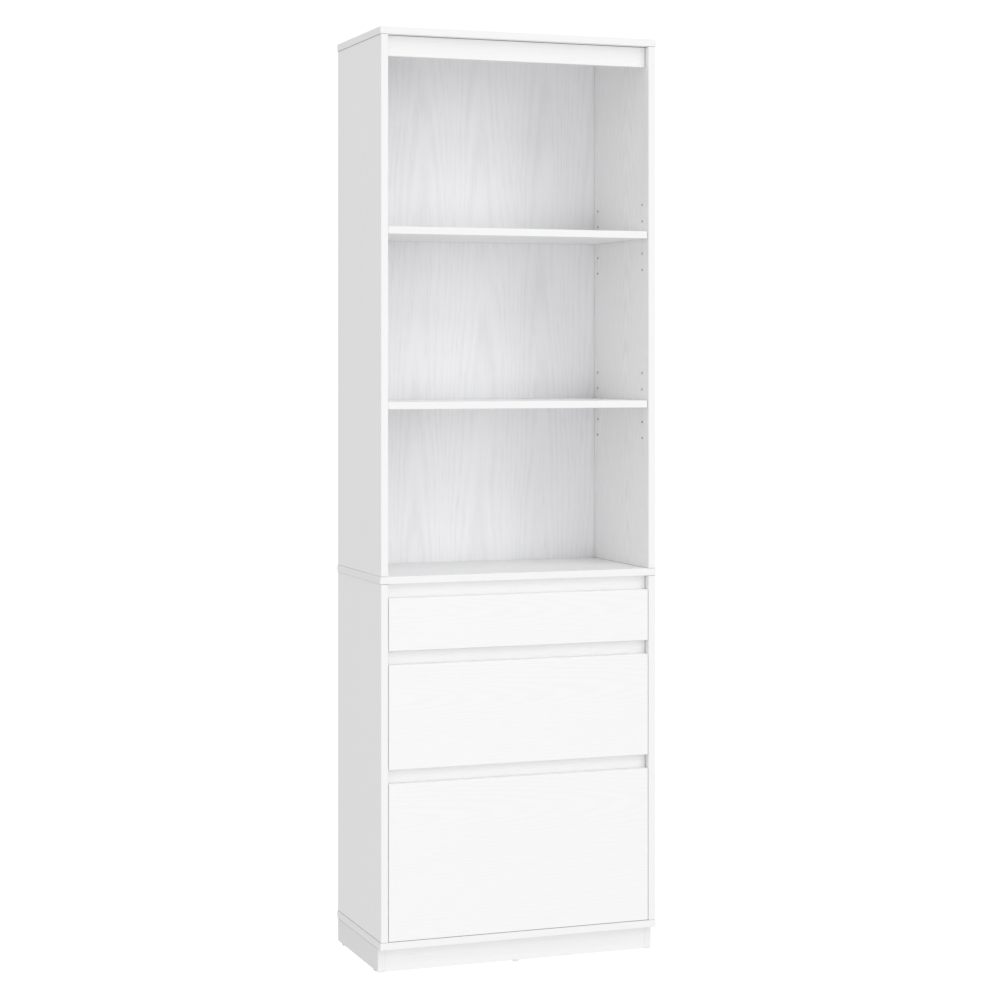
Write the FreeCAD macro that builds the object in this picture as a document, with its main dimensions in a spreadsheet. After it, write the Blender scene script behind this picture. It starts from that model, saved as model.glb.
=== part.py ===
import FreeCAD, Part
import math
import os
import Sketcher

# Tall bookcase with three inset drawers below, millimetres, +Z up.
# Origin: on the floor, at the middle of the width and depth. The front looks along -Y.
# "Depth" below is counted from the front edges of the panels, which lie in one plane.

SIZES = [
    # carcass boards
    ("cabinet_width", 600),          # over the ends of top, middle and base panel
    ("cabinet_depth", 307),
    ("board_thickness", 15),         # melamine-faced chipboard
    ("panel_overhang", 1.5),         # panels stand this far proud of each side board
    ("lower_side_height", 717),
    ("upper_side_height", 1086),
    ("edge_chamfer", 0.6),           # broken edges of every board
    # plinth and glides
    ("plinth_height", 48),
    ("plinth_recess", 22.5),         # plinth front behind the panels' front edge
    ("glide_height", 4),
    ("glide_diameter", 14),
    ("glide_bevel", 1.5),
    ("glide_inset", 30),             # glide centre from the end of its plinth board
    ("glide_nail_diameter", 2),
    ("glide_nail_length", 14),
    # back panels, held in grooves
    ("back_thickness", 3),
    ("back_setback", 8),             # rear face of the back panels before the rear edges
    ("back_groove_depth", 6),
    ("back_front_play", 0.9),        # groove of 4 mm: this much of it is open before the panel
    ("panel_play", 0.1),             # clearance of a thin panel in its groove elsewhere
    # rails under the top panel and behind the finger gaps
    ("rail_height", 42),
    # shelves and their pins
    ("shelf_thickness", 15),
    ("shelf_end_gap", 1),
    ("shelf_setback", 3),
    ("shelf_back_gap", 1),
    ("pin_diameter", 5),
    ("pin_length", 16),
    ("pin_hole_depth", 8),
    ("pin_pitch", 34),
    ("pin_rows", 5),                 # holes in one group of a column
    ("pin_rows_below", 2),           # of them, below the hole that carries the shelf
    ("pin_front_inset", 34),
    ("pin_column_spacing", 242),
    ("pin_group_height", 338),       # lower shelf's holes above the middle panel
    ("pin_group_spacing", 352),
    ("pin_slot_depth", 6),           # slot in the shelf's underside that drops over a pin
    ("pin_slot_end_play", 3),        # and longer than the pin's reach into it
    ("pin_slot_play", 0.2),          # slot wider than its pin by this much at each side
    # drawer fronts
    ("front_thickness", 15),
    ("front_side_gap", 1.2),
    ("front_floor_gap", 1.2),        # lowest front above the base panel
    ("front_rail_gap", 2),           # back of a front to the rail behind it
    ("finger_gap", 28.5),
    ("small_front_height", 105.5),
    ("medium_front_height", 209.5),
    # drawer boxes
    ("box_board", 12),
    ("box_rail_gap", 18),            # top edge of the box below the rail over it
    ("bottom_thickness", 3),
    ("bottom_height", 12),           # groove for the bottom above the box underside
    ("bottom_groove_depth", 6),
    # roller runners
    ("runner_space", 12.5),          # between box side and cabinet side
    ("runner_inset", 22),            # cabinet member's front end behind the panels' front edge
    ("runner_back_gap", 24),         # its rear end before the back panel
    ("runner_rail_gap", 2),          # its lower flange above the rail under it
    ("runner_drop", 3),              # running surface below the box underside
    ("steel_thickness", 1.2),
    ("cabinet_lip_gap", 1.8),        # cabinet member's flanges to the drawer member's web
    ("drawer_lip_gap", 2.5),         # drawer member's top flange to the side board
    ("drawer_foot", 10),             # flange of the drawer member under the box side
    ("drawer_member_gap", 1),        # its front end behind the drawer front
    ("roller_diameter", 18),
    ("roller_play", 0.3),            # roller to the flange that it runs on
    ("roller_side_play", 0.4),       # roller to the web that carries it
    ("roller_head_gap", 0.8),        # drawer roller to the screw heads that it passes
    ("flange_play", 0.5),            # roller or flange to a flange that it doesn't touch
    ("roller_bevel", 0.6),
    ("roller_end_gap", 1),           # cabinet roller behind the front end of its member
    ("drawer_axle_inset", 7),        # drawer roller's axle before the box's rear end
    ("rivet_diameter", 5),
    ("rivet_head_diameter", 8),
    ("rivet_head_height", 1.2),
    ("rivet_play", 0.05),            # running clearance of the roller bore, on the radius
    ("recess_play", 0.3),            # rivet head in the roller's recess
    ("stop_clearance", 0.4),         # closed drawer's roller to the rear end of the cabinet member
    ("stop_lug_height", 3),
    ("stop_lug_inset", 31.3),        # lug that stops the open drawer, from the member's front end
    # fittings
    ("screw_diameter", 3.5),
    ("screw_length", 10),
    ("screw_head_diameter", 6.6),
    ("screw_head_height", 1.3),
    ("runner_screw_inset", 45),      # screws of a cabinet member from its ends
    ("box_screw_inset", 36),         # screws of a drawer member from its ends
    ("box_back_screw_length", 32),
    ("box_back_screw_inset", 14),    # screws through the sides into the box back, from its top
    ("box_back_screw_rise", 30),     # and above the box underside
    ("hole_play", 0.1),              # a drilled hole over its fitting, on the radius
    ("cam_diameter", 15),
    ("cam_floor", 3),                # board left under a cam
    ("box_cam_floor", 2.5),
    ("cam_setback", 24),             # cam centre from the joint
    ("cam_slot", 8),                 # round way in the cam that takes the bolt
    ("driver_slot_length", 8),
    ("driver_slot_width", 1.4),
    ("driver_slot_depth", 1.6),
    ("bolt_diameter", 6),
    ("bolt_head_diameter", 7),
    ("bolt_thread_diameter", 5),
    ("bolt_thread_length", 10),
    ("box_cam_rise", 30),            # lower cam of a box side above the box underside
    ("box_cam_inset", 14),           # upper cam below the top edge
    ("side_cam_inset", 64),          # cams of lower sides and plinth sides from both board ends
    ("confirmat_length", 50),
    ("confirmat_shank", 7),
    ("confirmat_core", 5),
    ("confirmat_head", 10),
    ("confirmat_head_height", 3),
    ("confirmat_inset", 37),         # from the front and rear edges of the panels
    ("dowel_diameter", 8),
    ("dowel_length", 30),
    ("dowel_panel_depth", 10),       # dowel's part in the panel face
    ("upper_dowel_inset", 85),       # dowels of the upper sides from front and rear edges
    ("lower_dowel_inset", 110),
    ("dowel_end_play", 1),
]

os.makedirs("parts", exist_ok=True)
doc = FreeCAD.newDocument("bookcase")
sheet = doc.addObject("Spreadsheet::Sheet", "sizes")
for row, (alias, number) in enumerate(SIZES, start=1):
    sheet.set(f"A{row}", alias.replace("_", " "))
    sheet.set(f"B{row}", str(number))
    sheet.setAlias(f"B{row}", alias)
doc.recompute()


class Size:
    """A length worked out from the sheet: its value now and the expression that keeps it live."""

    def __init__(self, value, text):
        self.value = float(value)
        self.text = text

    def __add__(self, other):
        other = size_of(other)
        return Size(self.value + other.value, f"({self.text} + {other.text})")

    def __sub__(self, other):
        other = size_of(other)
        return Size(self.value - other.value, f"({self.text} - {other.text})")

    def __mul__(self, other):
        other = size_of(other)
        return Size(self.value * other.value, f"({self.text} * {other.text})")

    def __truediv__(self, other):
        other = size_of(other)
        return Size(self.value / other.value, f"({self.text} / {other.text})")

    def __radd__(self, other):
        return size_of(other) + self

    def __rsub__(self, other):
        return size_of(other) - self

    def __rmul__(self, other):
        return size_of(other) * self

    def __neg__(self):
        return Size(-self.value, f"(-1 * {self.text})")

    def root(self):
        return Size(math.sqrt(self.value), f"sqrt({self.text})")


def size_of(number):
    return number if isinstance(number, Size) else Size(number, f"{number}")


class Sheet:
    """Reads a named cell of the sheet as a Size: cell.cabinet_width."""

    def __getattr__(self, alias):
        return Size(sheet.get(alias), f"sizes.{alias}")


cell = Sheet()

# ---------------------------------------------------------------- worked-out places
board = cell.board_thickness
depth = cell.cabinet_depth
inner_width = cell.cabinet_width - 2 * cell.panel_overhang - 2 * board
half_inner = inner_width / 2

plinth_bottom = cell.glide_height
base_bottom = plinth_bottom + cell.plinth_height
base_top = base_bottom + board
middle_bottom = base_top + cell.lower_side_height
middle_top = middle_bottom + board
top_bottom = middle_top + cell.upper_side_height

back_front = depth - cell.back_setback - cell.back_thickness
groove_front = back_front - cell.back_front_play
groove_width = cell.back_front_play + cell.back_thickness + cell.panel_play
groove_reach = cell.back_groove_depth - cell.panel_play
rail_front = cell.front_thickness + cell.front_rail_gap

large_front_bottom = base_top + cell.front_floor_gap
medium_front_bottom = (middle_bottom - 2 * cell.finger_gap - cell.small_front_height
                       - cell.medium_front_height)
large_front_height = medium_front_bottom - cell.finger_gap - large_front_bottom
small_front_bottom = middle_bottom - cell.finger_gap - cell.small_front_height
gap_middle = cell.finger_gap / 2

pin_drop = cell.pin_slot_depth - cell.pin_diameter / 2   # pin axis above the shelf's underside
pin_slot_length = (cell.pin_length - cell.pin_hole_depth - cell.shelf_end_gap
                   + cell.pin_slot_end_play)

# A rail reaches this far past the edges of the fronts above and below its finger gap.
rail_overlap = (cell.rail_height - cell.finger_gap) / 2
box_lift = rail_overlap + cell.runner_rail_gap + cell.steel_thickness + cell.runner_drop
box_headroom = rail_overlap + cell.box_rail_gap

# runner section, counted from the cabinet side towards the drawer and up from the running surface
roller_radius = cell.roller_diameter / 2
roller_end = roller_radius + cell.roller_end_gap
channel_height = cell.roller_play + cell.roller_diameter + cell.flange_play
drawer_roller_rise = cell.roller_play + roller_radius
drawer_flange_rise = channel_height + cell.steel_thickness + cell.flange_play
cabinet_roller_rise = drawer_flange_rise - cell.roller_play - roller_radius
web_face = cell.runner_space - cell.steel_thickness
cabinet_lip = web_face - cell.cabinet_lip_gap
roller_width = (web_face - cell.roller_side_play - cell.roller_head_gap
                - cell.screw_head_height - cell.steel_thickness)
cabinet_roller_depth = cell.runner_inset + roller_end
runner_rear = back_front - cell.runner_back_gap
runner_length = runner_rear - cell.runner_inset
drawer_roller_depth = (runner_rear - cell.steel_thickness - cell.stop_clearance
                       - roller_radius)
box_front = cell.front_thickness
box_half = half_inner - cell.runner_space
screw_height = channel_height / 2

LEFT = -1
RIGHT = 1
BLOCK_EDGES = 12         # of a plain board

DRAWERS = [
    ("drawer_top", small_front_bottom, cell.small_front_height),
    ("drawer_middle", medium_front_bottom, cell.medium_front_height),
    ("drawer_bottom", large_front_bottom, large_front_height),
]

nodes = []


# ---------------------------------------------------------------- modelling helpers
def bind(item, prop, size):
    item.setExpression(prop, size_of(size).text)


def place(item, x, y, z):
    """Place an item: x from the middle, y behind the front plane, z above the floor."""
    bind(item, "Placement.Base.x", size_of(x))
    bind(item, "Placement.Base.y", size_of(y) - depth / 2)
    bind(item, "Placement.Base.z", size_of(z))


def new_body(name, node=True):
    body = doc.addObject("PartDesign::Body", name)
    body.Label = name
    if node:
        nodes.append(body)
    return body


def new_sketch(body, role, lift=0):
    """A sketch on one of the body's own origin planes, lifted along the plane's normal."""
    sketch = body.newObject("Sketcher::SketchObject", body.Name + "_sketch")
    plane = [item for item in body.Origin.OriginFeatures if item.Role == role][0]
    sketch.AttachmentSupport = (plane, "")
    sketch.MapMode = "FlatFace"
    bind(sketch, "AttachmentOffset.Base.z", lift)
    return sketch


def pin_point(sketch, geometry, vertex, x, y):
    """Tie one sketch point to its distances from the sketch origin."""
    for kind, size in (("DistanceX", x), ("DistanceY", y)):
        number = sketch.addConstraint(
            Sketcher.Constraint(kind, -1, 1, geometry, vertex, size.value))
        bind(sketch, f"Constraints[{number}]", size)


def draw_polygon(sketch, points):
    """A closed outline of straight lines through the given points."""
    points = [(size_of(x), size_of(y)) for x, y in points]
    corners = [FreeCAD.Vector(x.value, y.value, 0) for x, y in points]
    first = sketch.GeometryCount
    count = len(corners)
    for index in range(count):
        sketch.addGeometry(Part.LineSegment(corners[index], corners[(index + 1) % count]))
    for index, (x, y) in enumerate(points):
        before = first + (index - 1) % count
        sketch.addConstraint(Sketcher.Constraint("Coincident", before, 2, first + index, 1))
        pin_point(sketch, first + index, 1, x, y)


def draw_rectangle(sketch, x_low, x_high, y_low, y_high):
    draw_polygon(sketch, [(x_low, y_low), (x_high, y_low), (x_high, y_high), (x_low, y_high)])


def draw_circle(sketch, x, y, diameter):
    x, y, diameter = size_of(x), size_of(y), size_of(diameter)
    centre = FreeCAD.Vector(x.value, y.value, 0)
    circle = Part.Circle(centre, FreeCAD.Vector(0, 0, 1), diameter.value / 2)
    geometry = sketch.addGeometry(circle)
    pin_point(sketch, geometry, 3, x, y)
    number = sketch.addConstraint(Sketcher.Constraint("Diameter", geometry, diameter.value))
    bind(sketch, f"Constraints[{number}]", diameter)


def pad(body, sketch, length, forward=True):
    """Add material along the sketch plane's normal, or against it."""
    feature = body.newObject("PartDesign::Pad", body.Name + "_pad")
    feature.Profile = sketch
    feature.Reversed = not forward
    bind(feature, "Length", length)
    return feature


def board_block(body, sketch, length, forward=True):
    """A plain board: its outline made solid, with all edges broken."""
    block = pad(body, sketch, length, forward)
    chamfer = body.newObject("PartDesign::Chamfer", body.Name + "_chamfer")
    chamfer.Base = (block, [f"Edge{number + 1}" for number in range(BLOCK_EDGES)])
    bind(chamfer, "Size", cell.edge_chamfer)


def cut(body, sketch, length, forward=True):
    """Remove material along the sketch plane's normal, or against it."""
    feature = body.newObject("PartDesign::Pocket", body.Name + "_cut")
    feature.Profile = sketch
    feature.Reversed = forward
    bind(feature, "Length", length)
    return feature


def drill(body, role, lift, points, diameter, length, forward=True):
    """Round holes of one size from a plane into the body."""
    sketch = new_sketch(body, role, lift)
    for x, y in points:
        draw_circle(sketch, x, y, diameter)
    return cut(body, sketch, length, forward)


def slot(body, role, lift, x_low, x_high, y_low, y_high, length, forward=True):
    """A rectangular pocket from a plane into the body."""
    sketch = new_sketch(body, role, lift)
    draw_rectangle(sketch, x_low, x_high, y_low, y_high)
    return cut(body, sketch, length, forward)


def along_x(sign, size):
    """A distance to the right (1) or to the left (-1)."""
    return size if sign > 0 else -size


def span(low, high, sign):
    """A stretch of x that runs outwards on either side, lower end first."""
    return (low, high) if sign > 0 else (-high, -low)


def over(diameter):
    """The hole for a fitting of this diameter."""
    return diameter + 2 * cell.hole_play


# ---------------------------------------------------------------- fittings, shown as groups
cam_places = []          # (cam centre on the open face, way to the joint, way into the board)
confirmat_places = []    # (middle of the head's outer face, way of the point)
dowel_places = []        # (end of the dowel, way of its other end)
glide_places = []
pin_places = []
runner_screw_places = []


def spot(x, y, z):
    """A point of the finished model from live sizes: y behind the front plane."""
    return FreeCAD.Vector(size_of(x).value, size_of(y).value - depth.value / 2, size_of(z).value)


def way(x=0, y=0, z=0):
    return FreeCAD.Vector(x, y, z)


def turned_to(shape, origin, x_way, z_way):
    """A copy of a fitting with its own X and Z laid along two directions at a point."""
    rotation = FreeCAD.Rotation(x_way, z_way.cross(x_way), z_way, "XZY")
    copy = shape.copy()
    copy.Placement = FreeCAD.Placement(origin, rotation) * shape.Placement
    return copy


def any_square(direction):
    """A direction square to the given one, for fittings that are round."""
    return way(x=1) if abs(direction.x) < 0.5 else way(y=1)


def rod(diameter, low, high, axis=None):
    """A round rod on an axis through the origin, from one distance to another."""
    axis = axis or way(z=1)
    return Part.makeCylinder(diameter.value / 2, high.value - low.value, axis * low.value, axis)


def screw_shape(length):
    """Pan-head screw: the head's underside at the origin, the point along +Z."""
    zero = size_of(0)
    head = rod(cell.screw_head_diameter, -cell.screw_head_height, zero)
    return head.fuse(rod(cell.screw_diameter, zero, length)).removeSplitter()


def cam_shape(height, bolt_depth):
    """Cam: open face at the origin, +Z into the board, slot for the bolt along +X."""
    zero = size_of(0)
    cam = rod(cell.cam_diameter, zero, height)
    bolt_way = rod(cell.cam_slot, zero, cell.cam_diameter, way(x=1))
    bolt_way.translate(way(z=bolt_depth.value))
    length = cell.driver_slot_length.value
    width = cell.driver_slot_width.value
    driver_slot = Part.makeBox(length, width, cell.driver_slot_depth.value,
                               way(x=-length / 2, y=-width / 2))
    return cam.cut([bolt_way, driver_slot])


def bolt_shape(bolt_depth):
    """Cam bolt: its head in the cam at the origin, its thread past the joint along +X."""
    zero = size_of(0)
    head_end = cell.bolt_head_diameter / 2
    bolt = rod(cell.bolt_head_diameter, zero, head_end, way(x=1))
    bolt = bolt.fuse([
        rod(cell.bolt_diameter, head_end, cell.cam_setback, way(x=1)),
        rod(cell.bolt_thread_diameter, cell.cam_setback,
            cell.cam_setback + cell.bolt_thread_length, way(x=1)),
    ]).removeSplitter()
    bolt.translate(way(z=bolt_depth.value))
    return bolt


def confirmat_shape():
    """Confirmat screw: the head's outer face at the origin, the point along +Z."""
    head_end = cell.confirmat_head_height
    screw = rod(cell.confirmat_head, size_of(0), head_end)
    return screw.fuse([
        rod(cell.confirmat_shank, head_end, board),
        rod(cell.confirmat_core, board, cell.confirmat_length),
    ]).removeSplitter()


def glide_shape():
    """Nail-on glide: the floor at the origin, the nail along +Z."""
    radius = cell.glide_diameter.value / 2
    bevel = cell.glide_bevel.value
    foot = Part.makeCone(radius - bevel, radius, bevel)
    return foot.fuse([
        rod(cell.glide_diameter, cell.glide_bevel, cell.glide_height),
        rod(cell.glide_nail_diameter, cell.glide_height,
            cell.glide_height + cell.glide_nail_length),
    ]).removeSplitter()


def group(name, shapes):
    """A node of equal small pieces, each a solid of its own."""
    item = doc.addObject("Part::Feature", name)
    item.Label = name
    item.Shape = Part.makeCompound(shapes)
    nodes.append(item)


def pair(name, members):
    """A node of two mirrored bodies."""
    item = doc.addObject("Part::Compound", name)
    item.Label = name
    item.Links = members
    nodes.append(item)


# ---------------------------------------------------------------- carcass boards
side_middle = half_inner + board / 2
cam_depth = board - cell.cam_floor


def mirrored(inset, total):
    """The two places at one inset from both ends."""
    return [inset, total - inset]


def edge_points(inset):
    """Points over the middle of both side boards, at one inset from front and rear edge."""
    return [(along_x(sign, side_middle), y) for sign in (LEFT, RIGHT)
            for y in mirrored(inset, depth)]


def back_groove(body, lift, upwards):
    """Stopped groove of a horizontal panel for a back panel's edge."""
    reach = half_inner + cell.back_groove_depth
    slot(body, "XY_Plane", lift, -reach, reach, groove_front, groove_front + groove_width,
         cell.back_groove_depth, upwards)


def confirmat_holes(body, level, from_top):
    """Stepped holes through a panel, and the screws that fill them."""
    points = edge_points(cell.confirmat_inset)
    lift = board if from_top else size_of(0)
    drill(body, "XY_Plane", lift, points, over(cell.confirmat_shank), board, not from_top)
    drill(body, "XY_Plane", lift, points, over(cell.confirmat_head),
          cell.confirmat_head_height, not from_top)
    for x, y in points:
        confirmat_places.append((spot(x, y, level + lift), way(z=-1 if from_top else 1)))


def panel(name, level):
    body = new_body(name)
    outline = new_sketch(body, "XY_Plane")
    draw_rectangle(outline, -cell.cabinet_width / 2, cell.cabinet_width / 2, 0, depth)
    board_block(body, outline, board)
    place(body, 0, 0, level)
    return body


def dowel_holes(body, inset, lift, upwards, level):
    """Dowel holes in a panel's face, and the dowels that stand in them."""
    points = edge_points(inset)
    drill(body, "XY_Plane", lift, points, over(cell.dowel_diameter), cell.dowel_panel_depth, upwards)
    sign = 1 if upwards else -1
    start = level + lift + sign * cell.dowel_panel_depth
    for x, y in points:
        dowel_places.append((spot(x, y, start), way(z=-sign)))


top_panel = panel("top_panel", top_bottom)
back_groove(top_panel, 0, True)
dowel_holes(top_panel, cell.upper_dowel_inset, size_of(0), True, top_bottom)
confirmat_holes(top_panel, top_bottom, True)

middle_panel = panel("middle_panel", middle_bottom)
back_groove(middle_panel, board, False)
back_groove(middle_panel, 0, True)
dowel_holes(middle_panel, cell.upper_dowel_inset, board, False, middle_bottom)
dowel_holes(middle_panel, cell.lower_dowel_inset, size_of(0), True, middle_bottom)
drill(middle_panel, "XY_Plane", 0, edge_points(cell.side_cam_inset),
      over(cell.bolt_thread_diameter), cell.bolt_thread_length)
confirmat_holes(middle_panel, middle_bottom, False)

plinth_cam_depths = [cell.plinth_recess + cell.side_cam_inset, depth - cell.side_cam_inset]
base_panel = panel("base_panel", base_bottom)
back_groove(base_panel, board, False)
dowel_holes(base_panel, cell.lower_dowel_inset, board, False, base_bottom)
drill(base_panel, "XY_Plane", 0,
      [(along_x(sign, side_middle), y) for sign in (LEFT, RIGHT) for y in plinth_cam_depths],
      over(cell.bolt_thread_diameter), cell.bolt_thread_length)
confirmat_holes(base_panel, base_bottom, False)


def end_holes(body, sign, length, at_top, inset, diameter, deep):
    """Holes into the middle of a side board's end."""
    points = [(along_x(sign, board / 2), y) for y in mirrored(inset, depth)]
    drill(body, "XY_Plane", length if at_top else 0, points, diameter, deep, not at_top)


def panel_joint_holes(body, sign, length, at_top, dowel_inset, confirmat):
    """Holes of one end of a side board for its dowels and confirmat screws."""
    dowel_deep = cell.dowel_length - cell.dowel_panel_depth + cell.dowel_end_play
    end_holes(body, sign, length, at_top, dowel_inset, over(cell.dowel_diameter), dowel_deep)
    if confirmat:
        core_deep = cell.confirmat_length - board + cell.dowel_end_play
        end_holes(body, sign, length, at_top, cell.confirmat_inset, over(cell.confirmat_core),
                  core_deep)


def side_board(name, sign, length, level):
    """A side: inner face at x = 0, board outwards, groove for the back panel in its inner face."""
    body = new_body(name)
    outline = new_sketch(body, "YZ_Plane")
    draw_rectangle(outline, 0, depth, 0, length)
    board_block(body, outline, board, sign > 0)
    slot(body, "YZ_Plane", 0, groove_front, groove_front + groove_width, 0, length,
         cell.back_groove_depth, sign > 0)
    place(body, along_x(sign, half_inner), 0, level)
    return body


def rail_bolt_holes(body, sign, depth_middle, heights):
    """Pilot holes in an inner face for the bolts that hold rails."""
    drill(body, "YZ_Plane", 0, [(depth_middle, z) for z in heights],
          over(cell.bolt_thread_diameter), cell.bolt_thread_length, sign > 0)


def repeat_upwards(body, feature, total, count):
    """Repeat a feature up its own sketch's vertical axis."""
    pattern = body.newObject("PartDesign::LinearPattern", body.Name + "_pattern")
    pattern.Originals = [feature]
    pattern.Direction = (feature.Profile[0], ["V_Axis"])
    bind(pattern, "Length", total)
    bind(pattern, "Occurrences", count)
    body.Tip = pattern


pin_depths = [cell.pin_front_inset, cell.pin_front_inset + cell.pin_column_spacing]
pin_levels = [cell.pin_group_height, cell.pin_group_height + cell.pin_group_spacing]
rail_middle_depth = rail_front + board / 2
rail_half = cell.rail_height / 2
top_rail_level = top_bottom - cell.rail_height
grip_rails = [
    ("grip_rail_top", middle_bottom - cell.rail_height),
    ("grip_rail_middle", small_front_bottom - gap_middle - rail_half),
    ("grip_rail_bottom", medium_front_bottom - gap_middle - rail_half),
]

for side_name, sign in (("left", LEFT), ("right", RIGHT)):
    upper = side_board(f"upper_side_{side_name}", sign, cell.upper_side_height, middle_top)
    for at_top in (False, True):
        panel_joint_holes(upper, sign, cell.upper_side_height, at_top,
                          cell.upper_dowel_inset, True)
    rail_bolt_holes(upper, sign, rail_middle_depth, [cell.upper_side_height - rail_half])
    below = cell.pin_rows_below * cell.pin_pitch
    first_pins = drill(upper, "YZ_Plane", 0,
                       [(y, z - below) for y in pin_depths for z in pin_levels],
                       over(cell.pin_diameter), cell.pin_hole_depth, sign > 0)
    repeat_upwards(upper, first_pins, (cell.pin_rows - 1) * cell.pin_pitch, cell.pin_rows)

    lower = side_board(f"lower_side_{side_name}", sign, cell.lower_side_height, base_top)
    panel_joint_holes(lower, sign, cell.lower_side_height, False, cell.lower_dowel_inset, True)
    panel_joint_holes(lower, sign, cell.lower_side_height, True, cell.lower_dowel_inset, False)
    end_holes(lower, sign, cell.lower_side_height, True, cell.side_cam_inset,
              over(cell.bolt_head_diameter), cell.cam_setback)
    cam_height = cell.lower_side_height - cell.cam_setback
    cam_points = [(y, cam_height) for y in mirrored(cell.side_cam_inset, depth)]
    drill(lower, "YZ_Plane", 0, cam_points, over(cell.cam_diameter), cam_depth, sign > 0)
    for y, z in cam_points:
        cam_places.append((spot(along_x(sign, half_inner), y, base_top + z),
                           way(z=1), way(x=sign)))
    rail_bolt_holes(lower, sign, rail_middle_depth,
                    [level + rail_half - base_top for name, level in grip_rails])
    screw_points = []
    for name, front_bottom, front_height in DRAWERS:
        z = front_bottom + box_lift - cell.runner_drop + screw_height
        for y in mirrored(cell.runner_screw_inset, runner_length):
            screw_points.append((cell.runner_inset + y, z - base_top))
            head_face = along_x(sign, half_inner - cell.steel_thickness)
            runner_screw_places.append((spot(head_face, cell.runner_inset + y, z), way(x=sign)))
    drill(lower, "YZ_Plane", 0, screw_points, over(cell.screw_diameter),
          cell.screw_length - cell.steel_thickness, sign > 0)


def cross_board(name, height, front, level, cams_behind=True):
    """A rail or plinth board between two sides, held by a cam at each end."""
    body = new_body(name)
    outline = new_sketch(body, "XZ_Plane")
    draw_rectangle(outline, -half_inner, half_inner, 0, height)
    board_block(body, outline, board, False)
    cam_x = half_inner - cell.cam_setback
    lift = -board if cams_behind else size_of(0)
    drill(body, "XZ_Plane", lift, [(-cam_x, height / 2), (cam_x, height / 2)],
          over(cell.cam_diameter), cam_depth, cams_behind)
    for sign in (LEFT, RIGHT):
        drill(body, "YZ_Plane", along_x(sign, half_inner), [(board / 2, height / 2)],
              over(cell.bolt_head_diameter), cell.cam_setback, sign < 0)
        cam_places.append((spot(along_x(sign, cam_x), front - lift, level + height / 2),
                           way(x=sign), way(y=-1 if cams_behind else 1)))
    place(body, 0, front, level)
    return body


cross_board("top_rail", cell.rail_height, rail_front, top_rail_level)
for name, level in grip_rails:
    cross_board(name, cell.rail_height, rail_front, level)


# ---------------------------------------------------------------- plinth and glides
def glide_holes(body, points):
    drill(body, "XY_Plane", 0, points, over(cell.glide_nail_diameter), cell.glide_nail_length)


plinth_rear_front = depth - board
for name, front, cams_behind in (("plinth_front", cell.plinth_recess, True),
                                 ("plinth_rear", plinth_rear_front, False)):
    plinth_board = cross_board(name, cell.plinth_height, front, plinth_bottom, cams_behind)
    glide_holes(plinth_board, [(0, board / 2)])
    glide_places.append(spot(0, front + board / 2, 0))

plinth_length = depth - cell.plinth_recess
for side_name, sign in (("left", LEFT), ("right", RIGHT)):
    body = new_body(f"plinth_side_{side_name}")
    outline = new_sketch(body, "YZ_Plane")
    draw_rectangle(outline, 0, plinth_length, 0, cell.plinth_height)
    board_block(body, outline, board, sign > 0)
    middle_x = along_x(sign, board / 2)
    cam_depths = [y - cell.plinth_recess for y in plinth_cam_depths]
    cam_height = cell.plinth_height - cell.cam_setback
    drill(body, "YZ_Plane", 0, [(y, cam_height) for y in cam_depths], over(cell.cam_diameter),
          cam_depth, sign > 0)
    drill(body, "XY_Plane", cell.plinth_height, [(middle_x, y) for y in cam_depths],
          over(cell.bolt_head_diameter), cell.cam_setback, False)
    rail_bolt_holes(body, sign, board / 2, [cell.plinth_height / 2])
    rail_bolt_holes(body, sign, plinth_length - board / 2, [cell.plinth_height / 2])
    glide_holes(body, [(middle_x, y) for y in mirrored(cell.glide_inset, plinth_length)])
    for y in cam_depths:
        cam_places.append((spot(along_x(sign, half_inner), cell.plinth_recess + y,
                                plinth_bottom + cam_height), way(z=1), way(x=sign)))
    for y in mirrored(cell.glide_inset, plinth_length):
        glide_places.append(spot(along_x(sign, side_middle), cell.plinth_recess + y, 0))
    place(body, along_x(sign, half_inner), cell.plinth_recess, plinth_bottom)


# ---------------------------------------------------------------- back panels
def back_panel(name, low, high):
    """A thin panel whose four edges stand in grooves."""
    body = new_body(name)
    outline = new_sketch(body, "XZ_Plane")
    reach = half_inner + groove_reach
    draw_rectangle(outline, -reach, reach, 0, high - low + 2 * groove_reach)
    pad(body, outline, cell.back_thickness, False)
    place(body, 0, back_front, low - groove_reach)


back_panel("upper_back_panel", middle_top, top_bottom)
back_panel("lower_back_panel", base_top, middle_bottom)


# ---------------------------------------------------------------- shelves on pins
shelf_half = half_inner - cell.shelf_end_gap
shelf_depth = back_front - cell.shelf_back_gap - cell.shelf_setback
for name, pin_level in zip(("shelf_lower", "shelf_upper"), pin_levels):
    body = new_body(name)
    outline = new_sketch(body, "XY_Plane")
    draw_rectangle(outline, -shelf_half, shelf_half, 0, shelf_depth)
    board_block(body, outline, cell.shelf_thickness)
    half_slot = cell.pin_diameter / 2 + cell.pin_slot_play
    slots = new_sketch(body, "XY_Plane")
    for sign in (LEFT, RIGHT):
        for y in pin_depths:
            low, high = span(shelf_half - pin_slot_length, shelf_half, sign)
            middle = y - cell.shelf_setback
            draw_rectangle(slots, low, high, middle - half_slot, middle + half_slot)
            pin_places.append((spot(along_x(sign, half_inner + cell.pin_hole_depth), y,
                                    middle_top + pin_level), way(x=-sign)))
    cut(body, slots, cell.pin_slot_depth)
    place(body, 0, cell.shelf_setback, middle_top + pin_level - pin_drop)


# ---------------------------------------------------------------- roller runners
def inwards(sign, low, high):
    """A stretch of x counted from a cabinet side towards the middle, lower end first."""
    return span(low, high, -sign)


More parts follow.
